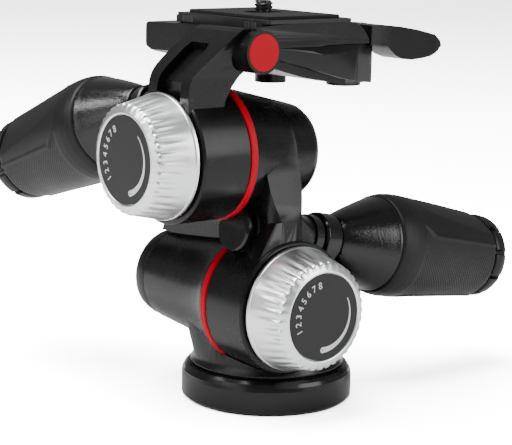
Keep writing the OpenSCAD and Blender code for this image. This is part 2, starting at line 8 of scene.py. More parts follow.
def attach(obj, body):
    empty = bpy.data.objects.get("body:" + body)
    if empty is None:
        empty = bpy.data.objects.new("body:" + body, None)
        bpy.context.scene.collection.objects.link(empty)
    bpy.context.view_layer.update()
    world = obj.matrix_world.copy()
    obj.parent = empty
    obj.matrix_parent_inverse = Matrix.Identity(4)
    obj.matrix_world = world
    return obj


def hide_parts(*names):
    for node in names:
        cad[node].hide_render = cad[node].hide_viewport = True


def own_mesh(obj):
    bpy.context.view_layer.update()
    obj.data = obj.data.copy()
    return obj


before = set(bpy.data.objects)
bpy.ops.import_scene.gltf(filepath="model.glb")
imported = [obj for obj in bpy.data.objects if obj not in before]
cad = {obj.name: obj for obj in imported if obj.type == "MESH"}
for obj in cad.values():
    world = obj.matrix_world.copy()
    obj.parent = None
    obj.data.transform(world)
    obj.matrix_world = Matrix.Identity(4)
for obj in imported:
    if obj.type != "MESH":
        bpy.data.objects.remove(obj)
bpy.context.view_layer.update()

# ---- the studio ---------------------------------------------------------------
# A pale seamless floor under a large overhead softbox, with a softbox at the
# right, a small key at the left and a fill in front. The camera stands a little
# above the head, to its front right.
CAMERA_PLACE = (0.44015, -0.36231, 0.16871)
HEADING, PITCH, ROLL = math.radians(141.01), math.radians(-10.65), math.radians(1.13)
LENS_LENGTH, SENSOR_WIDTH = 116.757, 36.0
AIR_LIGHT = 0.32
FLOOR_HALF = 14


def aim(holder, place, forward, roll=0.0):
    """Puts a camera or a light at a point and turns its -Z along a direction."""
    look = Vector(forward).normalized()
    right = look.cross(Vector((0, 0, 1))).normalized()
    up = right.cross(look)
    rolled_right = math.cos(roll) * right + math.sin(roll) * up
    rolled_up = -math.sin(roll) * right + math.cos(roll) * up
    turn = Matrix((rolled_right, rolled_up, -look)).transposed().to_4x4()
    holder.matrix_world = Matrix.Translation(place) @ turn


camera = bpy.data.objects.new("camera", bpy.data.cameras.new("camera"))
bpy.context.scene.collection.objects.link(camera)
camera.data.sensor_width = SENSOR_WIDTH
camera.data.lens = LENS_LENGTH
camera.data.clip_start = 0.02
camera.data.clip_end = 60
view_line = (math.cos(HEADING) * math.cos(PITCH), math.sin(HEADING) * math.cos(PITCH), math.sin(PITCH))
aim(camera, CAMERA_PLACE, view_line, ROLL)
bpy.context.scene.camera = camera


def softbox(name, place, toward, width, height, watts):
    """A rectangular area light that looks at a point."""
    lamp = bpy.data.lights.new(name, "AREA")
    lamp.shape = "RECTANGLE"
    lamp.size, lamp.size_y, lamp.energy = width, height, watts
    holder = bpy.data.objects.new(name, lamp)
    bpy.context.scene.collection.objects.link(holder)
    aim(holder, place, Vector(toward) - Vector(place))


softbox("overhead_softbox", (-0.1, -0.25, 1.1), (0, 0, 0.06), 0.8, 0.6, 20)
softbox("right_softbox", (1.1, 0.55, 0.55), (0, 0, 0.07), 0.7, 0.9, 12)
softbox("left_key", (-0.45, -0.75, 0.75), (0, 0, 0.09), 0.22, 0.3, 4)
softbox("front_fill", (0.1, -1.3, 0.5), (0, 0, 0.07), 0.9, 0.8, 6)

world = bpy.data.worlds.new("studio_air")
bpy.context.scene.world = world
world.use_nodes = True
world.node_tree.nodes["Background"].inputs["Color"].default_value = (1, 1, 1, 1)
world.node_tree.nodes["Background"].inputs["Strength"].default_value = AIR_LIGHT


def node(tree, kind, **values):
    """Adds a shader node; values that are sockets get linked, others are set.

    A key is a property of the node, the name of an input, or _ and an input's number.
    """
    made = tree.nodes.new(kind)
    for key, value in values.items():
        if hasattr(made, key):
            setattr(made, key, value)
            continue
        socket = made.inputs[int(key[1:]) if key[0] == "_" else key.replace("_", " ")]
        if isinstance(value, bpy.types.NodeSocket):
            tree.links.new(value, socket)
        else:
            socket.default_value = value
    return made


def blank_material(name):
    """A new material with its node tree and its Principled shader."""
    made = bpy.data.materials.new(name)
    made.use_nodes = True
    return made, made.node_tree, made.node_tree.nodes["Principled BSDF"]


sweep_bm = bmesh.new()
bmesh.ops.create_grid(sweep_bm, x_segments=4, y_segments=4, size=FLOOR_HALF)
sweep_mesh = bpy.data.meshes.new("studio_floor")
sweep_bm.to_mesh(sweep_mesh)
sweep_bm.free()
floor = bpy.data.objects.new("studio_floor", sweep_mesh)
bpy.context.scene.collection.objects.link(floor)
floor_paper, tree, shader = blank_material("white_paper_sweep")
coords = node(tree, "ShaderNodeTexCoord").outputs["Object"]
fibre = node(tree, "ShaderNodeTexNoise", Vector=coords, Scale=40.0, Detail=3.0).outputs[0]
shade = node(tree, "ShaderNodeMix", data_type="RGBA", _0=fibre, _6=(0.88, 0.88, 0.88, 1),
             _7=(0.91, 0.91, 0.91, 1))
# overexposed where the camera looks at it, plain white paper for what bounces off it
seen = node(tree, "ShaderNodeLightPath").outputs["Is Camera Ray"]
gain = node(tree, "ShaderNodeMix", data_type="RGBA", _0=seen, _6=shade.outputs[2],
            _7=(10.0, 10.0, 10.0, 1))
tree.links.new(gain.outputs[2], shader.inputs["Base Color"])
shader.inputs["Roughness"].default_value = 0.9
sweep_mesh.materials.append(floor_paper)

# ---- base disc and its pad ------------------------------------------------------
# A turned disc of black anodised aluminium that carries the whole head, with a
# ring of rubber glued in its underside so that it grips the tripod.
MM = 1000  # millimetres in a metre
CORNER_ANGLE = 28  # an edge that turns by more degrees than this is rounded over


def make_group(name, inputs, outputs):
    """A node group with inputs given as (name, kind of socket, start value) and outputs."""
    group = bpy.data.node_groups.new(name, "ShaderNodeTree")
    for label, kind, start in inputs:
        socket = group.interface.new_socket(label, in_out="INPUT", socket_type=kind)
        if start is not None:
            socket.default_value = start
    for label in outputs:
        group.interface.new_socket(label, in_out="OUTPUT", socket_type="NodeSocketFloat")
    return group, group.nodes.new("NodeGroupInput"), group.nodes.new("NodeGroupOutput")


def ranged(tree, value, low, high, to_low=0.0, to_high=1.0):
    """Stretches a value from one range onto another, held at its ends."""
    made = node(tree, "ShaderNodeMapRange", Value=value)
    made.inputs["From Min"].default_value = low
    made.inputs["From Max"].default_value = high
    made.inputs["To Min"].default_value = to_low
    made.inputs["To Max"].default_value = to_high
    return made.outputs[0]


# fine surface grain: height of the grain, and slow smudges over the whole piece
grain, g_in, g_out = make_group(
    "surface_grain",
    [("Vector", "NodeSocketVector", None), ("Grain Scale", "NodeSocketFloat", 1500.0)],
    ["Height", "Smudge"])
fine = node(grain, "ShaderNodeTexNoise", Vector=g_in.outputs["Vector"],
            Scale=g_in.outputs["Grain Scale"], Detail=3.0, Roughness=0.6)
slow = node(grain, "ShaderNodeTexNoise", Vector=g_in.outputs["Vector"], Scale=60.0, Detail=4.0,
            Roughness=0.6)
grain.links.new(fine.outputs[0], g_out.inputs["Height"])
grain.links.new(ranged(grain, slow.outputs[0], 0.3, 0.7), g_out.inputs["Smudge"])

# sparse handling marks: thin short scratches where the finish is rubbed
scuffs, s_in, s_out = make_group(
    "handling_scuffs",
    [("Vector", "NodeSocketVector", None), ("Amount", "NodeSocketFloat", 0.5)], ["Mask"])
long_way = node(scuffs, "ShaderNodeMapping", Vector=s_in.outputs["Vector"])
long_way.inputs["Rotation"].default_value = (0.5, 0.9, 0.4)
long_way.inputs["Scale"].default_value = (2600, 260, 900)
hair = node(scuffs, "ShaderNodeTexNoise", Vector=long_way.outputs[0], Scale=1.0, Detail=2.0)
patch = node(scuffs, "ShaderNodeTexNoise", Vector=s_in.outputs["Vector"], Scale=140.0, Detail=2.0)
both = node(scuffs, "ShaderNodeMath", operation="MULTIPLY",
            _0=ranged(scuffs, hair.outputs[0], 0.69, 0.76),
            _1=ranged(scuffs, patch.outputs[0], 0.54, 0.68))
much = node(scuffs, "ShaderNodeMath", operation="MULTIPLY", _0=both.outputs[0],
            _1=s_in.outputs["Amount"])
scuffs.links.new(much.outputs[0], s_out.inputs["Mask"])


def finish(name, dark, light, rough, metal=0.0, grain_scale=1500.0, relief=0.00002, bump=0.35,
           wear=0.4, worn=(0.10, 0.10, 0.10), specular=0.5, coat=0.0):
    """A surface with grain, slow smudges and rubbed spots, all from node patterns."""
    made, tree, shader = blank_material(name)
    where = node(tree, "ShaderNodeTexCoord").outputs["Object"]
    skin = node(tree, "ShaderNodeGroup", node_tree=grain)
    tree.links.new(where, skin.inputs["Vector"])
    skin.inputs["Grain Scale"].default_value = grain_scale
    rubbed = node(tree, "ShaderNodeGroup", node_tree=scuffs)
    tree.links.new(where, rubbed.inputs["Vector"])
    rubbed.inputs["Amount"].default_value = wear
    tone = node(tree, "ShaderNodeMix", data_type="RGBA", _0=skin.outputs["Smudge"], _6=(*dark, 1),
                _7=(*light, 1))
    rub = node(tree, "ShaderNodeMix", data_type="RGBA", _0=rubbed.outputs["Mask"],
               _6=tone.outputs[2], _7=(*worn, 1))
    tree.links.new(rub.outputs[2], shader.inputs["Base Color"])
    tree.links.new(ranged(tree, skin.outputs["Smudge"], 0, 1, *rough), shader.inputs["Roughness"])
    lift = node(tree, "ShaderNodeBump", Height=skin.outputs["Height"], Strength=bump, Distance=relief)
    lift.name = "grain_bump"
    tree.links.new(lift.outputs[0], shader.inputs["Normal"])
    shader.inputs["Metallic"].default_value = metal
    shader.inputs["Specular IOR Level"].default_value = specular
    shader.inputs["Coat Weight"].default_value = coat
    return made


def dress(material, *names):
    """Gives CAD nodes a material in all of their slots."""
    for name in names:
        slots = cad[name].data.materials
        if not slots:
            slots.append(material)
        for i in range(len(slots)):
            slots[i] = material


def settle(name, bm, material, body, place=None, standing_for=(), sharp=32):
    """Closes a bmesh up, puts it in place and makes it a piece that rides on a body."""
    bmesh.ops.remove_doubles(bm, verts=bm.verts, dist=1e-7)
    bmesh.ops.dissolve_degenerate(bm, edges=bm.edges, dist=1e-8)
    bmesh.ops.recalc_face_normals(bm, faces=bm.faces)
    if place:
        bmesh.ops.transform(bm, matrix=place, verts=bm.verts)
    mesh = bpy.data.meshes.new(name)
    bm.to_mesh(mesh)
    bm.free()
    mesh.shade_smooth()
    mesh.set_sharp_from_angle(angle=math.radians(sharp))
    mesh.materials.append(material)
    made = bpy.data.objects.new(name, mesh)
    bpy.context.scene.collection.objects.link(made)
    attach(made, body)
    if standing_for:
        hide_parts(*standing_for)
    return made


def eased(name, node_name, width, material, body):
    """A copy of a machined or cast CAD piece with its corners rounded over, in mm."""
    bm = bmesh.new()
    bm.from_mesh(cad[node_name].data)
    bmesh.ops.remove_doubles(bm, verts=bm.verts, dist=2e-6)
    bmesh.ops.dissolve_limit(bm, angle_limit=math.radians(0.5), verts=bm.verts, edges=bm.edges)
    made = settle(name, bm, material, body, standing_for=[node_name], sharp=CORNER_ANGLE)
    round_over = made.modifiers.new("eased_corners", "BEVEL")
    round_over.width = width / MM
    round_over.segments = 2
    round_over.limit_method = "ANGLE"
    round_over.angle_limit = math.radians(CORNER_ANGLE)
    round_over.harden_normals = True
    return made


black_anodised = finish("black_anodised_disc", (0.0028, 0.0028, 0.003), (0.004, 0.004, 0.0043),
                        (0.14, 0.22), grain_scale=2600.0, bump=0.12, wear=0.3, specular=0.3)
dress(black_anodised, "base_disc")
friction_rubber = finish("friction_rubber", (0.005, 0.005, 0.005), (0.008, 0.008, 0.008), (0.75, 0.9),
                         grain_scale=2200.0, bump=0.7, relief=0.00005, wear=0.2, specular=0.3)
dress(friction_rubber, "base_pad")

# ---- tripod plate, its screws, the pan bush and the friction ring ------------------
# A plain aluminium plate with the 3/8 inch thread for the tripod, three small
# screws, a bronze bush round the pan spigot and a fibre ring it slides on.
# the thread in mm, sixteen turns to the inch
TRIPOD_RIDGE = [(4.9, 1.1), (4.9, 1.9), (4.3, 1.58), (4.3, 1.42)]
TRIPOD_PITCH, TRIPOD_TURNS = 1.5875, 4.6
# the small screws in metres
SCREW_CIRCLE, SCREW_MIDDLE = 0.0184, 0.00305
SCREW_RADIUS, SCREW_LENGTH = 0.00093, 0.0047
SOCKET_RIM, SOCKET_TAPER, SOCKET_DEPTH = 0.0004, 0.00004, 0.0009

plain_alloy = finish("plain_alloy", (0.56, 0.56, 0.55), (0.66, 0.66, 0.65), (0.30, 0.42), metal=1.0,
                     grain_scale=3000.0, bump=0.2, wear=0.5, worn=(0.8, 0.8, 0.8))
dress(plain_alloy, "tripod_plate")
zinc_steel = finish("zinc_plated_steel", (0.46, 0.47, 0.48), (0.58, 0.59, 0.60), (0.22, 0.34), metal=1.0,
                    grain_scale=3400.0, bump=0.15, wear=0.5, worn=(0.75, 0.75, 0.75))
dress(zinc_steel, "pan_retaining_ring", "pan_lock_stud", "lower_tilt_shaft", "upper_tilt_shaft",
      "lower_brake_drum", "upper_brake_drum", "lower_spring_washers", "upper_spring_washers",
      "right_lock_rod", "left_lock_rod", "trip_pin")
bronze = finish("sintered_bronze", (0.40, 0.25, 0.10), (0.52, 0.35, 0.16), (0.35, 0.5), metal=1.0,
                grain_scale=2400.0, bump=0.3, wear=0.4, worn=(0.7, 0.55, 0.3))
dress(bronze, "pan_bush", "pan_brake_pad", "lower_tilt_bush", "upper_tilt_bush",
      "lower_clamp_shoes", "upper_clamp_shoes", "lower_knob_nut", "upper_knob_nut")
fibre_liner = finish("fibre_liner", (0.50, 0.44, 0.32), (0.62, 0.56, 0.42), (0.7, 0.85),
                     grain_scale=900.0, bump=0.5, relief=0.00004, wear=0.3, worn=(0.3, 0.27, 0.2))
dress(fibre_liner, "pan_friction_ring", "lower_friction_discs", "upper_friction_discs")


def wound(section, rise, turns, per_turn=32):
    """A closed (radius, height) section in mm wound about its axis, with closed ends."""
    bm = bmesh.new()
    bm.faces.new([bm.verts.new((r / MM, 0, z / MM)) for r, z in section])
    steps = int(per_turn * turns)
    out = bmesh.ops.spin(bm, geom=bm.verts[:] + bm.edges[:], axis=(0, 0, 1), cent=(0, 0, 0),
                         dvec=(0, 0, rise * turns / MM / steps), angle=2 * math.pi * turns,
                         steps=steps)
    last = [part for part in out["geom_last"] if isinstance(part, bmesh.types.BMEdge)]
    bmesh.ops.contextual_create(bm, geom=last)
    return bm


thread_bm = wound(TRIPOD_RIDGE, TRIPOD_PITCH, TRIPOD_TURNS, 48)
settle("tripod_thread", thread_bm, plain_alloy, "base")

screws_bm = bmesh.new()
for angle in (90, 210, 330):
    out_there = Matrix.Translation((SCREW_CIRCLE, 0, SCREW_MIDDLE))
    spot = Matrix.Rotation(math.radians(angle), 4, "Z") @ out_there
    bmesh.ops.create_cone(screws_bm, cap_ends=True, segments=24, radius1=SCREW_RADIUS,
                          radius2=SCREW_RADIUS, depth=SCREW_LENGTH, matrix=spot)
screws_bm.normal_update()
heads = [face for face in screws_bm.faces
         if len(face.verts) > 4 and face.calc_center_median().z < 0.001]
bmesh.ops.inset_individual(screws_bm, faces=heads, thickness=SOCKET_RIM, depth=0)
bmesh.ops.inset_individual(screws_bm, faces=heads, thickness=SOCKET_TAPER, depth=-SOCKET_DEPTH)
settle("tripod_plate_screw_set", screws_bm, zinc_steel, "base",
       standing_for=["tripod_plate_screws"])

# ---- pan housing, its end cap and the pan lock's knob ------------------------------------
# Die-cast aluminium with a satin black powder coat: the neck on the base, the
# lower barrel and the level housing in one casting. Cap and knob are moulded.
black_paint = finish("satin_black_paint", (0.0028, 0.0028, 0.0030), (0.0042, 0.0042, 0.0045),
                     (0.22, 0.31), grain_scale=1900.0, bump=0.3, wear=0.35, specular=0.26)
black_plastic = finish("moulded_black_plastic", (0.0035, 0.0035, 0.0037), (0.005, 0.005, 0.0053),
                       (0.30, 0.40), grain_scale=2600.0, bump=0.3, wear=0.3, specular=0.26)
eased("pan_housing_casting", "pan_housing", 0.3, black_paint, "pan")
eased("lower_barrel_cap", "lower_end_cap", 0.25, black_plastic, "pan")
eased("pan_lock_grip", "pan_lock_knob", 0.35, black_plastic, "pan_lock")

# ---- red rings and badge -------------------------------------------------------------
# Two anodised trim rings between the drums and the barrels, and the plain badge
# pressed into the yoke's boss, all the same saturated red.
red_trim = finish("red_trim", (0.35, 0.0005, 0.010), (0.40, 0.0006, 0.012), (0.34, 0.42),
                  grain_scale=2600.0, bump=0.12, wear=0.15, worn=(0.45, 0.03, 0.03), specular=0.08)
dress(red_trim, "lower_red_ring", "upper_red_ring", "badge_disc")

# ---- level vials ------------------------------------------------------------------------
# Sealed acrylic tubes of yellow-green spirit with an air bubble and two black
# index lines, dropped into open seats in the castings.
# in mm along a vial, then outside its radius
BUBBLE_HALF = 2.6
INDEX_OFFSET, INDEX_HALF = 3, 0.15
INDEX_INNER, INDEX_OUTER = 0.02, 0.07

vial_spirit = finish("level_spirit", (0.50, 0.62, 0.03), (0.56, 0.68, 0.06), (0.04, 0.07),
                     grain_scale=300.0, bump=0.02, wear=0.05, worn=(0.7, 0.8, 0.3), coat=1.0)
vial_spirit.node_tree.nodes["Principled BSDF"].inputs["Transmission Weight"].default_value = 0.25
air_bubble = finish("air_bubble", (0.80, 0.86, 0.45), (0.84, 0.90, 0.50), (0.05, 0.08),
                    grain_scale=300.0, bump=0.02, wear=0.0)
index_black = finish("index_lines", (0.01, 0.01, 0.01), (0.014, 0.014, 0.014), (0.4, 0.5),
                     wear=0.0)


def turned(outline, steps=96, closed=True):
    """A (radius, height) outline in mm spun round its own axis."""
    bm = bmesh.new()
    points = [bm.verts.new((r / MM, 0, z / MM)) for r, z in outline]
    for first, second in zip(points, points[1:] + (points[:1] if closed else [])):
        bm.edges.new((first, second))
    bmesh.ops.spin(bm, geom=bm.verts[:] + bm.edges[:], axis=(0, 0, 1), cent=(0, 0, 0),
                   angle=2 * math.pi, steps=steps, use_merge=True)
    bmesh.ops.remove_doubles(bm, verts=bm.verts, dist=1e-7)
    return bm


def at(x, y, z, *turns):
    """A place in mm and the turns in degrees that lead to a piece's own axes."""
    made = Matrix.Translation((x / MM, y / MM, z / MM))
    for axis, degrees in turns:
        made = made @ Matrix.Rotation(math.radians(degrees), 4, axis)
    return made


def level_vial(name, place, radius, half, body, nodes):
    """A round-ended tube along its own Z with a bubble on its upper side."""
    lower_end = [(0, -half), (radius * 0.7, -half), (radius * 0.93, -half + 0.3),
                 (radius, -half + 0.9)]
    upper_end = [(radius, half - 0.9), (radius * 0.93, half - 0.3), (radius * 0.7, half), (0, half)]
    tube = turned(lower_end + upper_end, 48, False)
    settle(name + "_tube", tube, vial_spirit, body, place, nodes)
    bubble = bmesh.new()
    bmesh.ops.create_uvsphere(bubble, u_segments=24, v_segments=14, radius=0.001)
    bmesh.ops.scale(bubble, vec=(radius * 0.45, radius * 0.5, BUBBLE_HALF), verts=bubble.verts)
    bmesh.ops.translate(bubble, vec=(0, radius * 0.56 / MM, 0), verts=bubble.verts)
    settle(name + "_bubble", bubble, air_bubble, body, place)
    inner, outer = radius + INDEX_INNER, radius + INDEX_OUTER
    for side, label in ((-1, "_index_a"), (1, "_index_b")):
        low, high = side * INDEX_OFFSET - INDEX_HALF, side * INDEX_OFFSET + INDEX_HALF
        line = turned([(inner, low), (outer, low), (outer, high), (inner, high)], 48)
        settle(name + label, line, index_black, body, place)


level_vial("pan_level", at(-24, -8.2, 57.2, ("Y", 90), ("Z", -90)), 3.35, 11, "pan",
           ["pan_level_vial"])
level_vial("wing_level", at(-32.4, -4, 126.6, ("X", -90), ("Z", 180)), 2.95, 8.8, "top",
           ["platform_level_vials"])
level_vial("back_level", at(-10, 18.6, 126.9, ("Y", 90), ("Z", -90)), 2.2, 7.8, "top", [])

# ---- middle frame and its clamp ------------------------------------------------------------
# One casting: the turning drum on the lower shaft, the arm beside it and the
# upper barrel. A split boss under the arm squeezes the brake when its handle turns.
eased("middle_frame_casting", "middle_frame", 0.45, black_paint, "middle")
gloss_cap = finish("gloss_black_fitting", (0.0025, 0.0025, 0.0027), (0.004, 0.004, 0.0042),
                   (0.14, 0.22), grain_scale=2200.0, bump=0.2, wear=0.4, specular=0.4)
eased("clamp_cap", "lower_clamp_cap", 0.8, gloss_cap, "middle")
dress(gloss_cap, "lower_clamp_washer", "upper_clamp_washer")

# ---- friction knobs -------------------------------------------------------------------------
# Turned from bright aluminium bar, fluted with a round cutter that runs out
# towards the back, with a charcoal disc pressed into the recess at the front.
# lengths in mm: where each knob's axis starts, and how far out its printed face is
LOWER_KNOB, UPPER_KNOB = (5.8, -10.4, 37.6), (0, -25.2, 88.5)
FACE_REACH = 36.23
KNOB_BACK = [(8.6, 25.3), (15.2, 25.3), (15.2, 21.1), (20.5, 21.1), (20.85, 21.2), (21.2, 21.55),
             (21.2, 22.4), (21.1, 22.7)]
SIDE_HEIGHTS = (22.9, 24, 25.2, 26.4, 27.6, 28.8, 30, 31.2, 32.4, 33.6, 34.3)
SIDE_RADIUS, SIDE_TAPER = 20.9, 0.2222
KNOB_FRONT = [(18.15, 34.95), (18.0, 35.12), (17.35, 35.46), (15.6, 36.4), (15.4, 36.47),
              (15.1, 36.45), (14.9, 36.35), (14.72, 36.1), (14.7, 35.7), (8.6, 35.7)]
FLUTES = 36
FLUTE_BACK, FLUTE_FRONT, FLUTE_RUN = 24.1, 35.2, 10.4
FLUTE_DEPTH, FLUTED_OUTSIDE = 0.5, 17.6
FLUTE_HALF, RUN_OUT = 0.33, 1.3  # share of the spacing, and how the cutter lifts
UNROLL_RADIUS = 0.018  # metres, the round that the UV map is unrolled from
# the printed figures: angles in degrees, lengths in metres
FIGURES, FIRST_FIGURE, FIGURE_STEP = 8, 200, 14.2
FIGURE_HEIGHT, FIGURE_RADIUS, INK = 0.0033, 0.0109, 0.00003
# the tapering mark: angles in degrees, lengths in mm, its ends as shares of its length
MARK_START, MARK_SWEEP, MARK_RADIUS, MARK_DRIFT = -97, 126, 11.1, 0.3
MARK_TAIL, MARK_SWELL = 0.18, 0.86
ROUND_END, POINT_START = 0.045, 0.99
DOT_ANGLE, DOT_RADIUS = -92, 0.0111  # degrees, metres

turned_aluminium = finish("turned_aluminium", (0.80, 0.82, 0.82), (0.86, 0.87, 0.87), (0.27, 0.34),
                          metal=1.0, grain_scale=2600.0, bump=0.1, wear=0.15,
                          worn=(0.95, 0.95, 0.95))
tree = turned_aluminium.node_tree
wrap = node(tree, "ShaderNodeUVMap", uv_map="wrap")
rings = node(tree, "ShaderNodeMapping", Vector=wrap.outputs[0])
rings.inputs["Scale"].default_value = (20, 9000, 1)
marks = node(tree, "ShaderNodeTexNoise", noise_dimensions="2D", Vector=rings.outputs[0],
             Scale=1.0, Detail=2.0)
tool_marks = node(tree, "ShaderNodeBump", Height=marks.outputs[0], Strength=0.25, Distance=0.00001,
                  Normal=tree.nodes["grain_bump"].outputs[0])
tree.links.new(tool_marks.outputs[0], tree.nodes["Principled BSDF"].inputs["Normal"])
charcoal_face = finish("charcoal_face", (0.012, 0.012, 0.013), (0.015, 0.015, 0.0165), (0.42, 0.5),
                       grain_scale=3200.0, bump=0.15, wear=0.15, specular=0.25)
white_print = finish("white_print", (0.55, 0.55, 0.56), (0.62, 0.62, 0.63), (0.5, 0.6),
                     grain_scale=3200.0, bump=0.1, wear=0.3, worn=(0.3, 0.3, 0.3))


def wrap_uv(bm):
    """A UV map in metres: round the piece in U, along its profile in V."""
    layer = bm.loops.layers.uv.new("wrap")
    for face in bm.faces:
        start = None
        for loop in face.loops:
            x, y, z = loop.vert.co
            angle = math.atan2(y, x)
            if start is None:
                start = angle
            angle = start + (angle - start + math.pi) % (2 * math.pi) - math.pi
            loop[layer].uv = (angle * UNROLL_RADIUS, z - math.hypot(x, y))


def fluted_knob():
    """The knob's outline spun, then each flute pressed in, deepest at the front."""
    side = [(SIDE_RADIUS - SIDE_TAPER * (z - SIDE_HEIGHTS[0]), z) for z in SIDE_HEIGHTS]
    bm = turned(KNOB_BACK + side + KNOB_FRONT, FLUTES * 12)
    for vert in bm.verts:
        x, y, z = vert.co * MM
        radius = math.hypot(x, y)
        if radius > FLUTED_OUTSIDE and FLUTE_BACK < z < FLUTE_FRONT:
            off = (math.atan2(y, x) * FLUTES / (2 * math.pi)) % 1 - 0.5
            run = min(1, (z - FLUTE_BACK) / FLUTE_RUN)
            cut = FLUTE_DEPTH * run ** RUN_OUT * max(0.0, 1 - (off / FLUTE_HALF) ** 2)
            vert.co.x *= 1 - cut / radius
            vert.co.y *= 1 - cut / radius
    wrap_uv(bm)
    return bm


def printed_scale(name, face_on, body):
    """Plain numbers along the left of the face, and a tapering mark on its right."""
    digits = bmesh.new()
    for i in range(FIGURES):
        turn = math.radians(FIRST_FIGURE - FIGURE_STEP * i)
        curve = bpy.data.curves.new("figure", "FONT")
        curve.body = str(i + 1)
        curve.size = FIGURE_HEIGHT
        curve.resolution_u = 4
        curve.extrude = INK
        curve.align_x, curve.align_y = "CENTER", "CENTER"
        holder = bpy.data.objects.new("figure", curve)
        flat = bpy.data.meshes.new_from_object(holder)
        out_there = Matrix.Translation((0, FIGURE_RADIUS, 0))
        spot = Matrix.Rotation(turn - math.pi / 2, 4, "Z") @ out_there
        flat.transform(face_on @ spot)
        digits.from_mesh(flat)
        bpy.data.objects.remove(holder)
        bpy.data.meshes.remove(flat)
    settle(name + "_numbers", digits, white_print, body, sharp=20)
    mark = bmesh.new()
    bmesh.ops.create_grid(mark, x_segments=56, y_segments=2, size=0.5)
    for vert in mark.verts:
        along, across = vert.co.x + 0.5, vert.co.y * 2
        half = MARK_TAIL + MARK_SWELL * (1 - along) ** 1.3
        if along < ROUND_END:
            half *= math.sqrt(max(0.0, 1 - (1 - along / ROUND_END) ** 2))
        if along > POINT_START:
            half *= (1 - along) / 0.01
        turn = math.radians(MARK_START + MARK_SWEEP * along)
        radius = MARK_RADIUS + MARK_DRIFT * along + half * across
        vert.co = Vector((radius * math.cos(turn), radius * math.sin(turn), 0)) / MM
    bmesh.ops.solidify(mark, geom=mark.faces[:], thickness=2 * INK)
    settle(name + "_mark", mark, white_print, body, face_on, sharp=20)
    dot = bmesh.new()
    out_there = Matrix.Translation((DOT_RADIUS, 0, INK))
    spot = Matrix.Rotation(math.radians(DOT_ANGLE), 4, "Z") @ out_there
    bmesh.ops.create_cone(dot, cap_ends=True, segments=20, radius1=0.00028, radius2=0.00026,
                          depth=0.0001, matrix=face_on @ spot)
    settle(name + "_dot", dot, charcoal_face, body)


lower_axis = at(*LOWER_KNOB, ("Y", 90))
upper_axis = at(*UPPER_KNOB, ("X", 90))
settle("lower_knob_body", fluted_knob(), turned_aluminium, "lower_knob",
       lower_axis, ["lower_friction_knob"])
settle("upper_knob_body", fluted_knob(), turned_aluminium, "upper_knob",
       upper_axis, ["upper_friction_knob"])
dress(charcoal_face, "lower_knob_face", "upper_knob_face")
facing_x = at(LOWER_KNOB[0] + FACE_REACH, *LOWER_KNOB[1:], ("Z", 90), ("X", 90))
facing_y = at(UPPER_KNOB[0], UPPER_KNOB[1] - FACE_REACH, UPPER_KNOB[2], ("X", 90), ("Z", 20))
printed_scale("lower_knob", facing_x, "lower_knob")
printed_scale("upper_knob", facing_y, "upper_knob")

# ---- top frame and badge seat ----------------------------------------------------------------
# One casting: the upper drum, the yoke that rises from it and the platform with
# its plate lock housing.
eased("top_frame_casting", "top_frame", 0.5, black_paint, "top")

# ---- handles ----------------------------------------------------------------------------------
# A steel rod with a black collar, a glossy moulded cone, a thick rubber sleeve
# with two smooth thumb flats on a plastic tube, and a notched cap on its end.
# all in mm, as (radius, height) outlines along the handle's axis
CONE = [(5.06, -20.6), (7.7, -20.6), (8.1, -20.4), (8.4, -20.0), (9.6, -17.6), (10.9, -15),
        (12.05, -12.4), (13.1, -10), (14.2, -7.4), (15.2, -5), (16.0, -2.9), (16.6, -1.2),
        (16.9, -0.7), (16.9, -0.3), (16.6, -0.2), (14.6, -0.2), (12.2, -4), (8, -12), (5.06, -14)]
SLEEVE_OUTLINE = [(17.0, 0), (17.6, 0.6), (18.3, 3), (18.6, 6), (18.6, 8.6), (18.4, 12), (17.9, 20),
                  (17.2, 30), (16.4, 41), (15.9, 49), (15.45, 50.3), (15.4, 58)]
SLEEVE_BORE, SLEEVE_END, SLEEVE_WIDEST = 12.05, 50.3, 18.6
SLEEVE_ROW, SLEEVE_ROWS = 0.45, 111
# a thumb flat's outline, across the sleeve and along it
PANEL_HALF, PANEL_NOSE, PANEL_FRONT, PANEL_SHOULDER = 13.0, 7.5, 8.6, 15.5
PANEL = [(-PANEL_HALF, 60.0), (-PANEL_HALF, PANEL_SHOULDER), (-PANEL_NOSE, PANEL_FRONT),
         (PANEL_NOSE, PANEL_FRONT), (PANEL_HALF, PANEL_SHOULDER), (PANEL_HALF, 60.0)]
FLAT_SHARE = 0.5  # how far a thumb flat brings the round towards its plane
FLAT_START, FLAT_DISTANCE, FLAT_LEAN = 9.8, 18.4, 0.1299
RIDGE_HEIGHT, RIDGE_WIDTH = 0.38, 0.7
STEP_DEPTH = 0.22
UNROLLED = 16.5  # radius at which an angle counts as a distance across the flat
CAP_OUTLINE = [(0, 50.9), (14.6, 50.9), (15.1, 51.1), (15.35, 51.5), (15.4, 52.6), (15.4, 53.6),
               (15.35, 54.4), (15.3, 54.45), (15.15, 55.4), (14.8, 56.2), (14.3, 57), (13.6, 57.5),
               (12.6, 57.9), (12.2, 58), (11.2, 57.95), (10.7, 57.7), (10.3, 57.1), (9.8, 57), (0, 57)]
NOTCHES, NOTCH_BACK, NOTCH_FLOOR = 10, 51.05, 13.9
NOTCH_HALF = 0.09  # share of the spacing

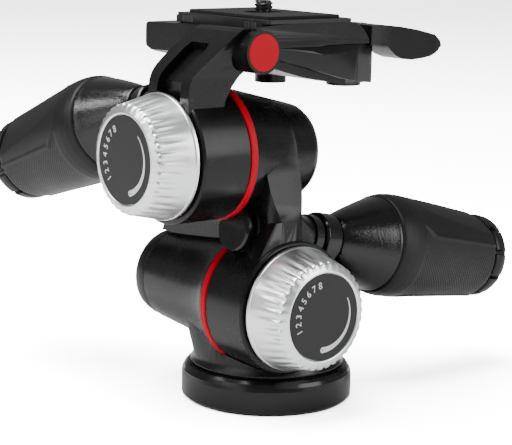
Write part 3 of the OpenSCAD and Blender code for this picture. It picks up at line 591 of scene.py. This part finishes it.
gloss_black = finish("gloss_black_cone", (0.0018, 0.0018, 0.0018), (0.0026, 0.0026, 0.0026), (0.12, 0.2),
                     grain_scale=1300.0, bump=0.9, relief=0.00012, wear=0.1, specular=0.42)
grip_rubber = finish("grip_rubber", (0.0035, 0.0035, 0.0036), (0.0050, 0.0050, 0.0052), (0.40, 0.50),
                     grain_scale=2600.0, bump=0.3, wear=0.2, specular=0.24)
tree = grip_rubber.node_tree
wrap = node(tree, "ShaderNodeUVMap", uv_map="wrap")
knurl = None
for slant in (0.7854, -0.7854):  # an eighth of a turn each way
    turned_uv = node(tree, "ShaderNodeMapping", Vector=wrap.outputs[0])
    turned_uv.inputs["Rotation"].default_value = (0, 0, slant)
    lines = node(tree, "ShaderNodeTexWave", Vector=turned_uv.outputs[0], Scale=330.0, Distortion=0.0)
    knurl = lines.outputs["Fac"] if knurl is None else node(
        tree, "ShaderNodeMath", operation="MULTIPLY", _0=knurl, _1=lines.outputs["Fac"]).outputs[0]
textured = node(tree, "ShaderNodeAttribute", attribute_name="textured")
masked = node(tree, "ShaderNodeMath", operation="MULTIPLY", _0=knurl, _1=textured.outputs["Fac"])
diamonds = node(tree, "ShaderNodeBump", Height=masked.outputs[0], Strength=0.8, Distance=0.00014,
                Normal=tree.nodes["grain_bump"].outputs[0])
tree.links.new(diamonds.outputs[0], tree.nodes["Principled BSDF"].inputs["Normal"])


def clamped(value):
    """Keeps a value between zero and one."""
    return max(0.0, min(1.0, value))


def outline_radius(z):
    """The sleeve's outside radius at a height along its axis, both in mm."""
    for (r0, z0), (r1, z1) in zip(SLEEVE_OUTLINE, SLEEVE_OUTLINE[1:]):
        if z <= z1:
            return r0 + (r1 - r0) * max(0, z - z0) / (z1 - z0)
    return SLEEVE_OUTLINE[-1][0]


def flattened(radius, angle, z, flats):
    """The radius where two opposite flats, deeper towards the end, ease the round."""
    plane = FLAT_DISTANCE - FLAT_LEAN * (z - 12)
    for flat in (flats, flats + math.pi):
        facing = math.cos(angle - flat)
        if z > FLAT_START and facing > 0.3:
            radius -= FLAT_SHARE * max(0.0, radius - plane / facing)
    return radius


def panel_distance(across, along):
    """Distance in mm from the outline of a thumb flat, below zero inside it."""
    nearest = 1e9
    for (x0, z0), (x1, z1) in zip(PANEL, PANEL[1:]):
        dx, dz = x1 - x0, z1 - z0
        part_way = clamped(((across - x0) * dx + (along - z0) * dz) / (dx * dx + dz * dz))
        nearest = min(nearest, math.hypot(across - x0 - part_way * dx, along - z0 - part_way * dz))
    slope = (PANEL_SHOULDER - PANEL_FRONT) / (PANEL_HALF - PANEL_NOSE)
    front = PANEL_FRONT + max(0, abs(across) - PANEL_NOSE) * slope
    return -nearest if abs(across) < PANEL_HALF and along > front else nearest


def grip_sleeve(name, place, flats, body, nodes):
    """The rubber sleeve: thumb flats with a raised rim, and a mask that keeps them smooth."""
    rows = [SLEEVE_ROW * i for i in range(1, SLEEVE_ROWS + 1)]
    outer = [(outline_radius(z), z) for z in rows]
    bm = turned([(SLEEVE_BORE, 0), (16.8, 0)] + outer + [(15.0, SLEEVE_END), (SLEEVE_BORE, SLEEVE_END)],
                256)
    mask = bm.verts.layers.float.new("textured")
    for vert in bm.verts:
        x, y, z = vert.co * MM
        radius, angle = math.hypot(x, y), math.atan2(y, x)
        if radius < 14.9 or z < 0.3:
            continue
        beside = min(((angle - flat + math.pi) % (2 * math.pi) - math.pi
                      for flat in (flats, flats + math.pi)), key=abs)
        distance = panel_distance(beside * UNROLLED, z)
        wanted = flattened(radius, angle, z, flats)
        ridge = RIDGE_HEIGHT * math.exp(-(distance / RIDGE_WIDTH) ** 2) * clamped((z - 1) / 6)
        step = STEP_DEPTH * clamped((distance - 0.4) / 0.8) * clamped((z - 9.6) / 0.8)
        vert[mask] = clamped((distance - 0.8) / 0.6) * clamped((z - 10) / 1.2)
        wanted += min(ridge, SLEEVE_WIDEST - wanted) if wanted < SLEEVE_WIDEST else 0
        wanted -= step * 0.6
        vert.co.x *= wanted / radius
        vert.co.y *= wanted / radius
    wrap_uv(bm)
    return settle(name, bm, grip_rubber, body, place, nodes, sharp=50)


def notched_cap(name, place, flats, body, nodes):
    """The end cap: ten square notches round its rim and a shallow dish in its end."""
    bm = turned(CAP_OUTLINE, 240, closed=False)
    for vert in bm.verts:
        x, y, z = vert.co * MM
        radius, angle = math.hypot(x, y), math.atan2(y, x)
        if radius < 1:
            continue
        wanted = radius
        off = abs(((angle - flats) * NOTCHES / (2 * math.pi)) % 1 - 0.5)
        if z > NOTCH_BACK and radius > NOTCH_FLOOR and off < NOTCH_HALF:
            wanted = NOTCH_FLOOR
        vert.co.x *= wanted / radius
        vert.co.y *= wanted / radius
    return settle(name, bm, black_plastic, body, place, nodes)


# each clamp's place and the angle its thumb flats stand at
clamps = {"right": (at(11, 38, 51.8, ("X", -101)), math.radians(-67)),
          "left": (at(-46.5, -35, 93.6, ("Z", 184), ("Y", 110.3)), math.radians(125))}
for side, (clamp, flats) in clamps.items():
    grip = side + "_grip"
    settle(side + "_ferrule", turned(CONE, 160), gloss_black, grip, clamp,
           [side + "_cone"], sharp=40)
    grip_sleeve(side + "_rubber_sleeve", clamp, flats, grip, [side + "_sleeve"])
    notched_cap(side + "_notched_cap", clamp, flats, grip, [side + "_end_cap"])
    eased(side + "_lock_collar", side + "_collar", 0.25, gloss_cap, side + "_handle")
dress(black_plastic, "right_grip_core", "left_grip_core")

# ---- camera plate, pad and screw ----------------------------------------------------------------
# A cast plate with a dovetail below and a rubber pad on top. The quarter inch
# screw is held captive by its thin neck and has a slotted head underneath.
# the ribs' spacing in mm, their place and size in metres
RIBS, RIB_PITCH, RIB_MARGIN = 9, 0.76, 0.45
RIB_Y, RIB_Z, RIB_SIZE = -0.02312, 0.13195, (0.00034, 0.0006, 0.0024)
THREAD_FOOT = 0.1345  # metres: the plain screw is cut off here and a threaded end goes on
# the threaded end in mm, twenty turns to the inch
SCREW_CORE = [(0, 134.2), (2.62, 134.2), (2.62, 138.3), (2.35, 138.9), (0, 138.95)]
SCREW_RIDGE = [(2.5, 134.62), (2.5, 135.74), (3.175, 135.26), (3.175, 135.1)]
SCREW_PITCH, SCREW_TURNS = 1.27, 2.6

plate_alloy = finish("plate_alloy", (0.007, 0.007, 0.0073), (0.0095, 0.0095, 0.0099), (0.36, 0.46),
                     grain_scale=2200.0, bump=0.3, wear=0.35, specular=0.3)
eased("camera_plate_casting", "camera_plate", 0.25, plate_alloy, "top")
eased("camera_plate_rubber", "camera_plate_pad", 0.3, friction_rubber, "top")
ribs_bm = bmesh.new()
for left in (-21.4, 12.8):
    for i in range(RIBS):
        spot = Matrix.Translation(((left + RIB_MARGIN + i * RIB_PITCH) / MM, RIB_Y, RIB_Z))
        bmesh.ops.create_cube(ribs_bm, size=1, matrix=spot @ Matrix.Diagonal((*RIB_SIZE, 1)))
bmesh.ops.bevel(ribs_bm, geom=ribs_bm.edges[:], offset=0.00008, segments=1, profile=0.5,
                affect="EDGES", material=-1)
rib_grey = finish("rib_grey", (0.05, 0.05, 0.05), (0.07, 0.07, 0.07), (0.45, 0.55), wear=0.3)
settle("plate_stop_ribs", ribs_bm, rib_grey, "top")

black_steel = finish("blackened_steel", (0.020, 0.020, 0.021), (0.030, 0.030, 0.032), (0.25, 0.35),
                     metal=0.6, grain_scale=2800.0, bump=0.2, wear=0.6, worn=(0.35, 0.35, 0.35))
screw_bm = bmesh.new()
screw_bm.from_mesh(cad["camera_screw"].data)
bmesh.ops.remove_doubles(screw_bm, verts=screw_bm.verts, dist=2e-6)
whole = screw_bm.verts[:] + screw_bm.edges[:] + screw_bm.faces[:]
cut = bmesh.ops.bisect_plane(screw_bm, geom=whole, plane_co=(0, 0, THREAD_FOOT), plane_no=(0, 0, 1),
                             clear_outer=True)
rim = [part for part in cut["geom_cut"] if isinstance(part, bmesh.types.BMEdge)]
bmesh.ops.holes_fill(screw_bm, edges=rim)
for part in (turned(SCREW_CORE, 48, False), wound(SCREW_RIDGE, SCREW_PITCH, SCREW_TURNS, 48)):
    bmesh.ops.translate(part, vec=(0.0008, -0.0052, 0), verts=part.verts)
    joined = bpy.data.meshes.new("screw_part")
    part.to_mesh(joined)
    part.free()
    screw_bm.from_mesh(joined)
    bpy.data.meshes.remove(joined)
settle("camera_screw_thread", screw_bm, black_steel, "camera_screw",
       standing_for=["camera_screw"])

# ---- plate lock: lever, pivot screw, springs and trip pin -------------------------------------------
# A cast lever turns on a shouldered screw against a coil spring; a spring-loaded
# pin holds it open until a plate pushes the pin down.
# the springs in mm: coil radius, height of the first turn and half the wire's thickness
LEVER_COIL = (5.0, 113.4, 0.5)
LEVER_RISE, LEVER_TURNS = 1.27, 7.8
PIN_COIL = (2.35, 112.6, 0.42)
PIN_RISE, PIN_TURNS = 1.05, 4.2


def round_section(radius, z, wire, sides=10):
    """The round section of a spring's wire, in mm, at the coil's radius and height."""
    around = [2 * math.pi * i / sides for i in range(sides)]
    return [(radius + wire * math.cos(turn), z + wire * math.sin(turn)) for turn in around]


eased("release_lever_casting", "release_lever", 0.3, black_paint, "lever")
eased("lever_pivot", "lever_pivot_screw", 0.2, black_steel, "top")
lever_coil = wound(round_section(*LEVER_COIL), LEVER_RISE, LEVER_TURNS)
settle("lever_coil_spring", lever_coil, zinc_steel, "top", at(10, 23.7, 0), ["lever_spring"],
       sharp=60)
pin_coil = wound(round_section(*PIN_COIL), PIN_RISE, PIN_TURNS)
pin_spring = settle("trip_pin_coil_spring", pin_coil, zinc_steel, "top", at(-20, 15.5, 0),
                    ["trip_pin_spring"], sharp=60)
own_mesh(pin_spring)
